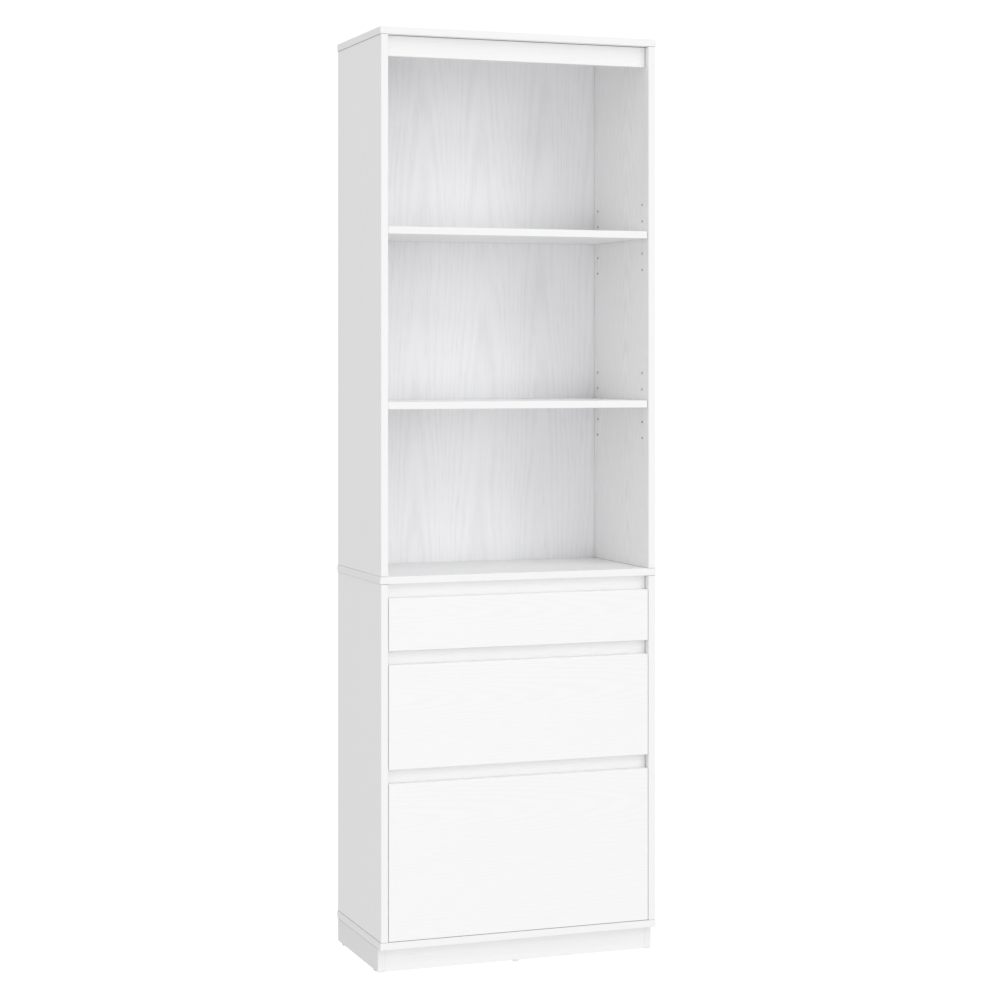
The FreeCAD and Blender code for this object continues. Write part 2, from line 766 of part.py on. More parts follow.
def rivet(body, sign, web, y, z, towards_middle):
    """Axle rivet on a web: shank through the roller, head in the roller's recess."""
    turn = -sign if towards_middle else sign
    shank = cell.roller_side_play + roller_width - cell.rivet_head_height
    start = along_x(-sign, web)
    neck = new_sketch(body, "YZ_Plane", start)
    draw_circle(neck, y, z, cell.rivet_diameter)
    pad(body, neck, shank, turn > 0)
    head = new_sketch(body, "YZ_Plane", start + along_x(turn, shank))
    draw_circle(head, y, z, cell.rivet_head_diameter)
    pad(body, head, cell.rivet_head_height, turn > 0)


def cabinet_member(name, sign, level):
    """Channel on the cabinet side, open to the middle, with its roller's axle at the front."""
    body = new_body(name, node=False)
    steel = cell.steel_thickness
    lip = cabinet_lip
    outline = new_sketch(body, "XZ_Plane")
    channel = [(0, -steel), (lip, -steel), (lip, 0), (steel, 0), (steel, channel_height),
               (lip, channel_height), (lip, channel_height + steel), (0, channel_height + steel)]
    draw_polygon(outline, [(along_x(-sign, size_of(u)), z) for u, z in channel])
    pad(body, outline, runner_length, False)
    low, high = inwards(sign, steel, lip)
    slot(body, "XY_Plane", channel_height + steel, low, high, 0,
         roller_end + roller_radius + cell.flange_play, steel, False)
    rear_tab = new_sketch(body, "XZ_Plane", steel - runner_length)
    draw_rectangle(rear_tab, low, high, 0, channel_height)
    pad(body, rear_tab, steel, False)
    lug = new_sketch(body, "XZ_Plane", -cell.stop_lug_inset)
    lug_low, lug_high = inwards(sign, lip / 2, lip)
    draw_rectangle(lug, lug_low, lug_high, 0, cell.stop_lug_height)
    pad(body, lug, steel, False)
    screws = [(y, screw_height) for y in mirrored(cell.runner_screw_inset, runner_length)]
    drill(body, "YZ_Plane", 0, screws, over(cell.screw_diameter), steel, sign < 0)
    rivet(body, sign, steel, roller_end, cabinet_roller_rise, True)
    place(body, along_x(sign, half_inner), cell.runner_inset, level)
    return body


drawer_member_front = box_front + cell.drawer_member_gap
box_length = drawer_roller_depth + cell.drawer_axle_inset - box_front
drawer_member_length = box_length - cell.drawer_member_gap
box_screw_depths = mirrored(cell.box_screw_inset, drawer_member_length)


def drawer_member(name, sign, level):
    """Angle under the box side with a top flange that runs on the cabinet roller."""
    body = new_body(name, node=False)
    steel = cell.steel_thickness
    foot_bottom = cell.runner_drop - steel
    outline = new_sketch(body, "XZ_Plane")
    section = [(web_face, foot_bottom), (cell.runner_space + cell.drawer_foot, foot_bottom),
               (cell.runner_space + cell.drawer_foot, cell.runner_drop),
               (cell.runner_space, cell.runner_drop),
               (cell.runner_space, drawer_flange_rise + steel),
               (cell.drawer_lip_gap, drawer_flange_rise + steel),
               (cell.drawer_lip_gap, drawer_flange_rise),
               (web_face, drawer_flange_rise)]
    draw_polygon(outline, [(along_x(-sign, u), z) for u, z in section])
    pad(body, outline, drawer_member_length, False)
    screw_x = along_x(-sign, cell.runner_space + cell.box_board / 2)
    drill(body, "XY_Plane", foot_bottom,
          [(screw_x, y) for y in box_screw_depths], over(cell.screw_diameter), steel)
    rivet(body, sign, web_face, drawer_roller_depth - drawer_member_front,
          drawer_roller_rise, False)
    place(body, along_x(sign, half_inner), drawer_member_front, level)
    return body


def roller(name, turn, near_face, y, z):
    """Nylon roller: plain tread, bore for its rivet, recess for the rivet head on the far face."""
    body = new_body(name, node=False)
    bore = cell.rivet_diameter / 2 + cell.rivet_play
    recess = cell.rivet_head_diameter / 2 + cell.recess_play
    floor = roller_width - cell.rivet_head_height - cell.recess_play
    bevel = cell.roller_bevel
    profile = new_sketch(body, "XZ_Plane")
    outline = [(0, bore), (floor, bore), (floor, recess), (roller_width, recess),
               (roller_width, roller_radius - bevel), (roller_width - bevel, roller_radius),
               (bevel, roller_radius), (0, roller_radius - bevel)]
    draw_polygon(profile, [(along_x(turn, size_of(x)), radius) for x, radius in outline])
    spun = body.newObject("PartDesign::Revolution", name + "_spin")
    spun.Profile = profile
    spun.ReferenceAxis = (profile, ["H_Axis"])
    spun.Angle = 360
    place(body, near_face, y, z)
    return body


# ---------------------------------------------------------------- drawers
box_inner_half = box_half - cell.box_board
box_groove_low = cell.bottom_height - cell.panel_play
box_groove_high = cell.bottom_height + cell.bottom_thickness + cell.panel_play
box_rear = box_front + box_length
box_cam_depth = cell.box_board - cell.box_cam_floor


def drawer_front(name, bottom, height, cam_heights):
    """Front board: groove for the bottom, pilot holes for the cam bolts."""
    body = new_body(f"{name}_front")
    half = half_inner - cell.front_side_gap
    outline = new_sketch(body, "XZ_Plane")
    draw_rectangle(outline, -half, half, 0, height)
    board_block(body, outline, cell.front_thickness, False)
    groove_half = box_inner_half + cell.bottom_groove_depth
    slot(body, "XZ_Plane", -cell.front_thickness, -groove_half, groove_half,
         box_lift + box_groove_low, box_lift + box_groove_high,
         cell.bottom_groove_depth)
    bolt_x = box_half - cell.box_board / 2
    drill(body, "XZ_Plane", -cell.front_thickness,
          [(along_x(sign, bolt_x), box_lift + z) for sign in (LEFT, RIGHT)
           for z in cam_heights],
          over(cell.bolt_thread_diameter), cell.bolt_thread_length)
    place(body, 0, 0, bottom)


def box_side(name, sign, level, height, cam_heights, screw_heights):
    """Box side: outer face at x = 0, board towards the middle."""
    body = new_body(name)
    outline = new_sketch(body, "YZ_Plane")
    draw_rectangle(outline, 0, box_length, 0, height)
    board_block(body, outline, cell.box_board, sign < 0)
    inner_face = along_x(-sign, cell.box_board)
    middle = along_x(-sign, cell.box_board / 2)
    slot(body, "YZ_Plane", inner_face, 0, box_length, box_groove_low, box_groove_high,
         cell.bottom_groove_depth, sign > 0)
    drill(body, "YZ_Plane", inner_face, [(cell.cam_setback, z) for z in cam_heights],
          over(cell.cam_diameter), box_cam_depth, sign > 0)
    drill(body, "XZ_Plane", 0, [(middle, z) for z in cam_heights],
          over(cell.bolt_head_diameter), cell.cam_setback, False)
    rear_points = [(box_length - cell.box_board / 2, z) for z in screw_heights]
    drill(body, "YZ_Plane", 0, rear_points, over(cell.screw_diameter), cell.box_board, sign < 0)
    drill(body, "YZ_Plane", 0, rear_points, over(cell.screw_head_diameter),
          cell.screw_head_height, sign < 0)
    drill(body, "XY_Plane", 0,
          [(middle, cell.drawer_member_gap + y) for y in box_screw_depths],
          over(cell.screw_diameter), cell.screw_length - cell.steel_thickness)
    place(body, along_x(sign, box_half), box_front, level)


def box_back(name, level, height, screw_heights):
    body = new_body(name)
    outline = new_sketch(body, "XZ_Plane")
    draw_rectangle(outline, -box_inner_half, box_inner_half, 0, height)
    board_block(body, outline, cell.box_board, False)
    slot(body, "XZ_Plane", 0, -box_inner_half, box_inner_half, box_groove_low, box_groove_high,
         cell.bottom_groove_depth, False)
    for sign in (LEFT, RIGHT):
        drill(body, "YZ_Plane", along_x(sign, box_inner_half),
              [(cell.box_board / 2, z) for z in screw_heights], over(cell.screw_diameter),
              cell.box_back_screw_length - cell.box_board, sign < 0)
    place(body, 0, box_rear - cell.box_board, level)


def box_bottom(name, level):
    body = new_body(name)
    reach = cell.bottom_groove_depth - cell.panel_play
    half = box_inner_half + reach
    front = box_front - reach
    outline = new_sketch(body, "XY_Plane")
    draw_rectangle(outline, -half, half, 0, box_rear - cell.box_board + reach - front)
    pad(body, outline, cell.bottom_thickness)
    place(body, 0, front, level + cell.bottom_height)


def drawer(name, front_bottom, front_height):
    """One drawer with its runners, rollers and fittings."""
    level = front_bottom + box_lift
    box_height = front_height - box_lift - box_headroom
    run_level = level - cell.runner_drop
    cam_heights = [cell.box_cam_rise, box_height - cell.box_cam_inset]
    screw_heights = [cell.box_back_screw_rise, box_height - cell.box_back_screw_inset]
    drawer_front(name, front_bottom, front_height, cam_heights)
    box_back(f"{name}_back", level, box_height, screw_heights)
    box_bottom(f"{name}_bottom", level)
    screw = screw_shape(cell.screw_length)
    long_screw = screw_shape(cell.box_back_screw_length - cell.screw_head_height)
    cam = cam_shape(box_cam_depth, cell.box_board / 2)
    bolt = bolt_shape(cell.box_board / 2)
    screws, fittings = [], []
    cabinet_members, drawer_members, cabinet_rollers, drawer_rollers = [], [], [], []
    for side_name, sign in (("left", LEFT), ("right", RIGHT)):
        box_side(f"{name}_side_{side_name}", sign, level, box_height, cam_heights, screw_heights)
        inner_x = along_x(sign, box_inner_half)
        for z in cam_heights:
            origin = spot(inner_x, box_front + cell.cam_setback, level + z)
            for shape in (cam, bolt):
                fittings.append(turned_to(shape, origin, way(y=-1), way(x=sign)))
        head_x = along_x(sign, box_half - cell.screw_head_height)
        for z in screw_heights:
            origin = spot(head_x, box_rear - cell.box_board / 2, level + z)
            screws.append(turned_to(long_screw, origin, way(y=1), way(x=-sign)))
        foot_x = along_x(sign, box_half - cell.box_board / 2)
        for y in box_screw_depths:
            origin = spot(foot_x, drawer_member_front + y, level - cell.steel_thickness)
            screws.append(turned_to(screw, origin, way(x=1), way(z=1)))
        cabinet_members.append(cabinet_member(f"{name}_channel_{side_name}", sign, run_level))
        drawer_members.append(drawer_member(f"{name}_angle_{side_name}", sign, run_level))
        cabinet_x = along_x(sign, half_inner - cell.steel_thickness - cell.roller_side_play)
        cabinet_rollers.append(roller(f"{name}_front_roller_{side_name}", -sign, cabinet_x,
                                      cabinet_roller_depth, run_level + cabinet_roller_rise))
        drawer_x = along_x(sign, half_inner - web_face + cell.roller_side_play)
        drawer_rollers.append(roller(f"{name}_rear_roller_{side_name}", sign, drawer_x,
                                     drawer_roller_depth, run_level + drawer_roller_rise))
    short = name.replace("drawer_", "")
    pair(f"cabinet_runners_{short}", cabinet_members)
    pair(f"{name}_runners", drawer_members)
    pair(f"cabinet_rollers_{short}", cabinet_rollers)
    pair(f"{name}_rollers", drawer_rollers)
    group(f"{name}_screws", screws)
    group(f"{name}_cam_fittings", fittings)


for drawer_sizes in DRAWERS:
    drawer(*drawer_sizes)

# ---------------------------------------------------------------- fittings of the carcass
cam = cam_shape(cam_depth, board / 2)
bolt = bolt_shape(board / 2)
group("cam_locks", [turned_to(cam, *where) for where in cam_places])
group("cam_bolts", [turned_to(bolt, *where) for where in cam_places])
confirmat = confirmat_shape()
group("confirmat_screws",
      [turned_to(confirmat, origin, any_square(point), point)
       for origin, point in confirmat_places])
dowel = rod(cell.dowel_diameter, size_of(0), cell.dowel_length)
group("wood_dowels", [turned_to(dowel, origin, any_square(end), end)
                      for origin, end in dowel_places])
pin = rod(cell.pin_diameter, size_of(0), cell.pin_length)
group("shelf_pins", [turned_to(pin, origin, any_square(end), end) for origin, end in pin_places])
runner_screw = screw_shape(cell.screw_length)
group("runner_screws",
      [turned_to(runner_screw, origin, any_square(end), end)
       for origin, end in runner_screw_places])
glide = glide_shape()
group("plinth_glides", [turned_to(glide, origin, way(x=1), way(z=1)) for origin in glide_places])

# ---------------------------------------------------------------- check and export
doc.recompute()
for item in doc.Objects:
    faults = [state for state in item.State if state in ("Invalid", "Error")]
    if faults:
        raise RuntimeError(f"{item.Label}: {faults}")
for item in nodes:
    shape = item.Shape
    if shape.isNull() or not shape.isValid() or not shape.Solids:
        raise RuntimeError(f"{item.Label}: no valid solid")
for item in nodes:
    item.Shape.exportStep(f"parts/{item.Label}.step")
print(len(nodes), "nodes")
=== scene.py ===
import math
from collections import namedtuple

import bmesh
import bpy
from mathutils import Matrix, Vector


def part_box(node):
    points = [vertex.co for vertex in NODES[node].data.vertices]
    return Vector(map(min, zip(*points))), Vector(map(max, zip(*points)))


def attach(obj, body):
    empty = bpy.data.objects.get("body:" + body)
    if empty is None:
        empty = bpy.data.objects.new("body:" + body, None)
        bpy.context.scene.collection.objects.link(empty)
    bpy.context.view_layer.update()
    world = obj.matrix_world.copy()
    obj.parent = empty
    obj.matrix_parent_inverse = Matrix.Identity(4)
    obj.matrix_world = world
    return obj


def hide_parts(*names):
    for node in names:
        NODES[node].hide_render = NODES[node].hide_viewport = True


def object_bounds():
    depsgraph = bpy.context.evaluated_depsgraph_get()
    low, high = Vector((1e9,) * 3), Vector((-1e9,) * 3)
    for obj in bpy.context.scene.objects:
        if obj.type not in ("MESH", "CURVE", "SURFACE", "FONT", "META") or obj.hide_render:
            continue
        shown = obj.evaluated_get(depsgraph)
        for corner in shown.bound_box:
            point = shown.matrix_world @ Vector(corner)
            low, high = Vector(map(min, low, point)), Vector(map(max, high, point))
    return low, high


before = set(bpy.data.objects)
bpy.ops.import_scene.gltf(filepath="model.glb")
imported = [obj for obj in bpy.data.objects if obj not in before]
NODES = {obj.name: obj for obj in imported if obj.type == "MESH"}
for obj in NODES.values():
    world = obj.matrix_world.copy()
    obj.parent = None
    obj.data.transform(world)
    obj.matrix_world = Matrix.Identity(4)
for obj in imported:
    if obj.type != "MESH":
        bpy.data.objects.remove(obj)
CAD_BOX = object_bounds()
DRAWERS = ("top", "middle", "bottom")
MM = 0.001


# ---------------------------------------------------------------- shader helpers
SRGB_TOE = 0.04045              # the sRGB curve is straight up to here
SRGB_SLOPE = 12.92
SRGB_OFFSET = 0.055
SRGB_POWER = 2.4


def tint(colour):
    """The linear colour of an sRGB hex value such as #F2F3F4."""
    shades = [int(colour[place:place + 2], 16) / 255 for place in (1, 3, 5)]
    return [shade / SRGB_SLOPE if shade <= SRGB_TOE
            else ((shade + SRGB_OFFSET) / (1 + SRGB_OFFSET)) ** SRGB_POWER
            for shade in shades] + [1.0]


def add(tree, kind, inputs=(), **settings):
    """A node of this kind; each input is a value or the socket that feeds it."""
    node = tree.nodes.new("ShaderNode" + kind)
    for setting, value in settings.items():
        setattr(node, setting, value)
    for socket, value in dict(inputs).items():
        if isinstance(value, bpy.types.NodeSocket):
            tree.links.new(value, node.inputs[socket])
        else:
            node.inputs[socket].default_value = value
    return node


def blank(name):
    """A material with its node tree cleared, and the tree."""
    material = bpy.data.materials.new(name)
    material.use_nodes = True
    tree = material.node_tree
    tree.nodes.clear()
    return material, tree


def surface(tree, **inputs):
    """The shader and the output that shows it."""
    shader = add(tree, "BsdfPrincipled", {name.replace("_", " "): value for name, value in inputs.items()})
    add(tree, "OutputMaterial", {"Surface": shader.outputs["BSDF"]})
    return shader


COLOUR_A, COLOUR_B, COLOUR_OUT = 6, 7, 2     # the Mix node's colour sockets


def mixed(tree, share, first, second):
    """A colour between two others."""
    blend = add(tree, "Mix", {0: share, COLOUR_A: first, COLOUR_B: second}, data_type="RGBA")
    return blend.outputs[COLOUR_OUT]


def number(tree, operation, *values):
    """The result of one sum on numbers or sockets."""
    return add(tree, "Math", enumerate(values), operation=operation).outputs["Value"]


def object_sides(tree):
    """The X, Y and Z sockets of the place on the object."""
    return add(tree, "SeparateXYZ", {"Vector": add(tree, "TexCoord").outputs["Object"]}).outputs


def ranged(tree, value, low, high, to_low, to_high):
    """A number moved from one range to another, and held inside it."""
    span = {"Value": value, "From Min": low, "From Max": high, "To Min": to_low, "To Max": to_high}
    return add(tree, "MapRange", span).outputs["Result"]


def speckle(tree, place, size_mm, detail=2.0):
    """Noise from 0 to 1 whose grains have this size in mm, along each of the place's axes."""
    scale = [1 / (MM * length) for length in size_mm]
    stretched = add(tree, "Mapping", {"Vector": place, "Scale": scale}).outputs["Vector"]
    return add(tree, "TexNoise", {"Vector": stretched, "Scale": 1.0, "Detail": detail}).outputs["Fac"]


# ---------------------------------------------------------------- white board finishes
AXES = "XYZ"
RING_WIDTH = 6.0            # mm between the grain lines
SLOW_SWAY = (120, 120, 700)         # mm over which a grain line wanders far
FAST_SWAY = (30, 30, 190)   # mm over which it wanders a little
WANDER = 16.0               # mm that a grain line wanders sideways
FAR_TIMES = 4.0             # how many times further the slow wandering goes
# Two prints of a log, lengths in mm: how deep its heart lies under the board's face, how much it
# leans, so that its rings close in arches, how far beside the heart the rings are bold and past which
# they are faint, how faint their weak stretches are, and the width of one leaf (0: the whole board).
Print = namedtuple("Print", "heart_depth tilt bold_to faint_past weakest leaf_width")
WIDE_PRINT = Print(34.0, 0.07, 40.0, 190.0, 0.6, 0.0)
NARROW_PRINT = Print(80.0, 0.025, 14.0, 62.0, 0.2, 142.0)
BOLDEST, FAINTEST = 1.35, 0.5       # strength of the rings by the heart and far beside it
STRONG_STRETCH = 1.2        # strength of a ring where it isn't weak
PORE = (1.7, 1.7, 46.0)     # mm; real pores are 0.3 mm wide, too fine to show, so these are coarser
PORE_SHOWS = (0.58, 0.84)   # the noise at which a pore begins and is at its deepest
PORE_DEPTH = 0.85           # of the embossed depth
CROWDING = 0.2              # how much thicker the pores lie along a ring
EMBOSSED_DEPTH = 0.025      # mm that the press plate leaves in the paper
QUIET = 0.2                 # how much of the grain shows on the outer faces of the uprights
GLOSS = (0.40, 0.47)        # roughness of the paper, which changes over patches
GLOSS_PATCH = (60, 60, 160)         # mm
PORE_ROUGHNESS = 0.10       # added at the bottom of a pore
SKIN = 0.5                  # mm of melamine and glue over the chips
EDGING = "#F8F8F8"          # plain melamine, ironed onto the edges
CHIPS = ("#A0937F", "#5F574B")              # the lightest and the darkest
JOINT_SHADE_CHIPS = ("#6B6256", "#3F3931")    # darker chips: painted shade deep in the joints between two boards
CHIP_SIZE = (1.5, 1.5, 1.5)         # mm
ENDS_X = (("X", 1), ("X", -1))
ENDS_Z = (("Z", 1), ("Z", -1))
JOINT_SHADE_STRIP = 1.2 * MM        # width of a strip of chip colour beside a board's end: painted shade of the joint
NARROW_JOINT_SHADE_STRIP = 1.0 * MM      # the same painted joint shade, a little narrower
ON_FACE = 0.8               # how squarely a surface looks along an axis to count as the board's face
ON_END = 0.5                # and to count as its end, broken edges included


def board_place(tree, grain, face, shift):
    """Object coordinates as (across the grain, through the board, along the grain)."""
    across = (set(AXES) - {grain, face}).pop()
    sides = object_sides(tree)
    turned = add(tree, "CombineXYZ", {"X": sides[across], "Y": sides[face], "Z": sides[grain]})
    moved = {"Vector": turned.outputs["Vector"], "Location": [MM * length for length in shift]}
    return add(tree, "Mapping", moved).outputs["Vector"]


def pressed_grain(tree, place, rings, log):
    """Depth of the pressed wood pores: 0 on the plain face, 1 at the bottom of a pore."""
    slow = speckle(tree, place, SLOW_SWAY, 1.0)
    fast = speckle(tree, place, FAST_SWAY, 2.0)
    sides = add(tree, "SeparateXYZ", {"Vector": place}).outputs
    slow_sway = number(tree, "SUBTRACT", slow, 0.5)
    fast_sway = number(tree, "SUBTRACT", fast, 0.5)
    drift = number(tree, "MULTIPLY_ADD", slow_sway, FAR_TIMES * MM * WANDER, sides["X"])
    drift = number(tree, "MULTIPLY_ADD", fast_sway, MM * WANDER, drift)
    if log.leaf_width:
        drift = number(tree, "PINGPONG", drift, MM * log.leaf_width / 2)
    lean = number(tree, "MULTIPLY_ADD", sides["Z"], log.tilt, MM * log.heart_depth)
    lean = number(tree, "MULTIPLY_ADD", slow_sway, MM * WANDER, lean)
    squares = number(tree, "ADD", number(tree, "POWER", drift, 2.0), number(tree, "POWER", lean, 2.0))
    from_pith = number(tree, "SQRT", squares)
    half_ring = MM * RING_WIDTH / 2
    late_wood = ranged(tree, number(tree, "PINGPONG", from_pith, half_ring), 0.0, half_ring, 0.0, 1.0)
    pores = speckle(tree, place, PORE, 1.0)
    crowded = number(tree, "MULTIPLY_ADD", late_wood, CROWDING, pores)
    dashes = ranged(tree, crowded, *PORE_SHOWS, 0.0, PORE_DEPTH)
    beside_heart = number(tree, "ABSOLUTE", drift)
    bold = ranged(tree, beside_heart, MM * log.bold_to, MM * log.faint_past, BOLDEST, FAINTEST)
    patchy = ranged(tree, fast, 0.35, 0.65, log.weakest, STRONG_STRETCH)
    uneven = number(tree, "MULTIPLY", late_wood, number(tree, "MULTIPLY", bold, patchy))
    return number(tree, "MULTIPLY_ADD", uneven, rings, dashes)


def raw_inside(tree, sides, board):
    """1 below the skin of a board, as in a drilled hole; the board is (axis, low, high) rows.

    A row on X that is all on one side of the middle stands for the mirrored board too.
    """
    inside = 1.0
    for axis, low, high in board:
        middle = (low + high) / 2
        reach = (high - low) / 2 - MM * SKIN
        place = number(tree, "ABSOLUTE", sides[axis]) if low > 0 and axis == "X" else sides[axis]
        off_middle = number(tree, "ABSOLUTE", number(tree, "SUBTRACT", place, middle))
        inside = number(tree, "MULTIPLY", inside, number(tree, "LESS_THAN", off_middle, reach))
    return inside


def melamine(name, grain, face, shift, light="#FBFBFB", dark="#F7F7F7", rings=0.15, log=WIDE_PRINT,
             quiet_past=0.0, sawn=(), board=(), shade_strips=(), chips=CHIPS):
    """Melamine paper pressed onto chipboard with a wood-pore plate, and smooth edging.

    It gives a silky white with faint grain lines, and plain, slightly glossier edges. The brown
    chips show where a hole goes through the skin and at the sawn ends, which have no edging; where
    such an end meets another board, its chip colour is also painted shade of the joint. Strips of
    chip colour on the face beside a joint are painted shade under an overhang, and darker chips may
    be given as painted joint shade. grain and face are the axes along the grain and through the
    board. Past quiet_past from the middle, the print hardly shows. sawn has the (axis, sign) of each
    sawn end; the strips of painted shade are given as (axis, low, high).
    """
    material, tree = blank(name)
    place = board_place(tree, grain, face, shift)
    facing = add(tree, "SeparateXYZ", {"Vector": add(tree, "TexCoord").outputs["Normal"]}).outputs
    sides = object_sides(tree)
    on_face = number(tree, "GREATER_THAN", number(tree, "ABSOLUTE", facing[face]), ON_FACE)
    grained = number(tree, "MULTIPLY", pressed_grain(tree, place, rings, log), on_face)
    if quiet_past:
        from_middle = number(tree, "ABSOLUTE", sides[face])
        outside = number(tree, "GREATER_THAN", from_middle, quiet_past)
        grained = number(tree, "MULTIPLY", grained, ranged(tree, outside, 0.0, 1.0, 1.0, QUIET))
    gloss = ranged(tree, speckle(tree, place, GLOSS_PATCH), 0.3, 0.7, *GLOSS)
    rough = number(tree, "MULTIPLY_ADD", grained, PORE_ROUGHNESS, gloss)
    bump = add(tree, "Bump", {"Height": grained, "Strength": 1.0, "Distance": MM * EMBOSSED_DEPTH},
               invert=True).outputs["Normal"]
    colour = mixed(tree, on_face, tint(EDGING), mixed(tree, grained, tint(light), tint(dark)))
    # real raw chips in holes and at sawn ends; at the joints, and in the strips, this brown is painted
    # shade
    if sawn:
        chips_and_joint_shade = raw_inside(tree, sides, board) if board else 0.0
        for axis, sign in sawn:
            cut = number(tree, "GREATER_THAN", number(tree, "MULTIPLY", facing[axis], sign), ON_END)
            chips_and_joint_shade = number(tree, "MAXIMUM", chips_and_joint_shade, cut)
        # strips on the face beside a joint: painted shade under the overhang there
        for axis, low, high in shade_strips:
            in_strip = number(tree, "COMPARE", sides[axis], (low + high) / 2, (high - low) / 2)
            chips_and_joint_shade = number(tree, "MAXIMUM", chips_and_joint_shade, number(tree, "MULTIPLY", on_face, in_strip))
        # the chip colours; with the darker joint chips this is painted joint shade
        chip_or_joint_shade_colour = mixed(tree, speckle(tree, place, CHIP_SIZE), *[tint(shade) for shade in chips])
        colour = mixed(tree, chips_and_joint_shade, colour, chip_or_joint_shade_colour)
    surface(tree, Base_Color=colour, Roughness=rough, Normal=bump)
    return material


def lacquered_hardboard(name):
    """Thin hardboard with a rolled white lacquer, which shows as a dull, faintly fibrous white."""
    material, tree = blank(name)
    place = add(tree, "TexCoord").outputs["Object"]
    fibres = speckle(tree, place, (3, 3, 3), 4.0)
    colour = mixed(tree, ranged(tree, fibres, 0.3, 0.7, 0.0, 1.0), tint("#EFEFEE"), tint("#E6E6E4"))
    bump = add(tree, "Bump", {"Height": fibres, "Strength": 0.6, "Distance": 0.05 * MM}).outputs["Normal"]
    surface(tree, Base_Color=colour, Roughness=0.58, Normal=bump)
    return material


def powder_coat(name):
    """Powder coat on folded steel: a warm white with a slight orange peel."""
    material, tree = blank(name)
    place = add(tree, "TexCoord").outputs["Object"]
    peel = speckle(tree, place, (1.6, 1.6, 1.6), 1.0)
    colour = mixed(tree, speckle(tree, place, (25, 25, 25)), tint("#EDEBE4"), tint("#E4E2DA"))
    bump = add(tree, "Bump", {"Height": peel, "Strength": 0.5, "Distance": 0.06 * MM}).outputs["Normal"]
    surface(tree, Base_Color=colour, Roughness=0.33, Normal=bump)
    return material


def moulded(name, light, dark, rough, milky=0.0):
    """A moulded plastic: soft mottle and fine sparking marks, and light that goes in a little."""
    material, tree = blank(name)
    place = add(tree, "TexCoord").outputs["Object"]
    sparked = speckle(tree, place, (0.5, 0.5, 0.5), 3.0)
    colour = mixed(tree, speckle(tree, place, (6, 6, 6)), tint(light), tint(dark))
    bump = add(tree, "Bump", {"Height": sparked, "Strength": 0.4, "Distance": 0.03 * MM}).outputs["Normal"]
    surface(tree, Base_Color=colour, Roughness=rough, Normal=bump, Subsurface_Weight=milky,
            Subsurface_Radius=(2 * MM, 2 * MM, 2 * MM))
    return material


def plated(name, light, dark, rough_low, rough_high, mark=(4.0, 0.4, 4.0)):
    """Plated metal: bright, with fine marks of drawing or casting and patchy roughness."""
    material, tree = blank(name)
    place = add(tree, "TexCoord").outputs["Object"]
    clouds = speckle(tree, place, (3, 3, 3), 3.0)
    marks = speckle(tree, place, mark, 2.0)
    bump = add(tree, "Bump", {"Height": marks, "Strength": 0.35, "Distance": 0.03 * MM}).outputs["Normal"]
    surface(tree, Base_Color=mixed(tree, clouds, tint(light), tint(dark)), Metallic=1.0,
            Roughness=ranged(tree, clouds, 0.3, 0.7, rough_low, rough_high), Normal=bump)
    return material


def raw_beech(name):
    """Turned beech, unfinished: pinkish tan with short darker flecks along the dowel."""
    material, tree = blank(name)
    place = add(tree, "TexCoord").outputs["Object"]
    flecks = ranged(tree, speckle(tree, place, (0.8, 0.8, 5.0)), 0.45, 0.7, 0.0, 1.0)
    bump = add(tree, "Bump", {"Height": flecks, "Strength": 0.5, "Distance": 0.05 * MM}).outputs["Normal"]
    colour = mixed(tree, flecks, tint("#D9B78C"), tint("#B98D5F"))
    surface(tree, Base_Color=colour, Roughness=0.7, Normal=bump)
    return material


SIDE_LOW, SIDE_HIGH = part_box("upper_side_right")
RAIL_LOW, RAIL_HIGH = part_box("top_rail")
SIDE_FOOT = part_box("lower_side_right")[0].z
PLINTH_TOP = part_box("plinth_side_left")[1].z

# One print runs over each group of boards; the shifts, in mm, set where its arches fall.
UPRIGHT_SIDE = melamine("pressed_melamine_on_uprights", "Z", "X", (35, -285, -1100),
                        light="#FCFCFC", dark="#F1F1F1", rings=0.3,
                        quiet_past=(SIDE_LOW.x + SIDE_HIGH.x) / 2, sawn=ENDS_Z,
                        board=(("X", SIDE_LOW.x, SIDE_HIGH.x), ("Y", SIDE_LOW.y, SIDE_HIGH.y)),
                        # strips of chip colour at the foot and top: painted shade of the joints with the
                        # panels
                        shade_strips=(("Z", SIDE_FOOT, SIDE_FOOT + JOINT_SHADE_STRIP),
                              ("Z", SIDE_HIGH.z - NARROW_JOINT_SHADE_STRIP, SIDE_HIGH.z)))
UPRIGHT_BACK = melamine("pressed_melamine_on_back_panels", "Z", "Y", (-20, -120, -1180),
                        light="#FCFCFE", dark="#F4F4F6", rings=0.55, log=NARROW_PRINT)
LEVEL_BOARD = melamine("pressed_melamine_on_level_boards", "X", "Z", (10, -30, 60))
CROSS_BOARD = melamine("pressed_melamine_on_cross_boards", "X", "Y", (-640, 140, 40), dark="#F8F8F8")
FRONT_PLACES = {"top": (-728, 140, -260), "middle": (-556, 140, -90), "bottom": (-318, 140, 150)}
FRONT_BOARDS = {
    f"drawer_{drawer}_front": melamine(f"pressed_melamine_on_{drawer}_front", "X", "Y", shift,
                                       dark="#F8F8F8", rings=0.35)
    for drawer, shift in FRONT_PLACES.items()
}
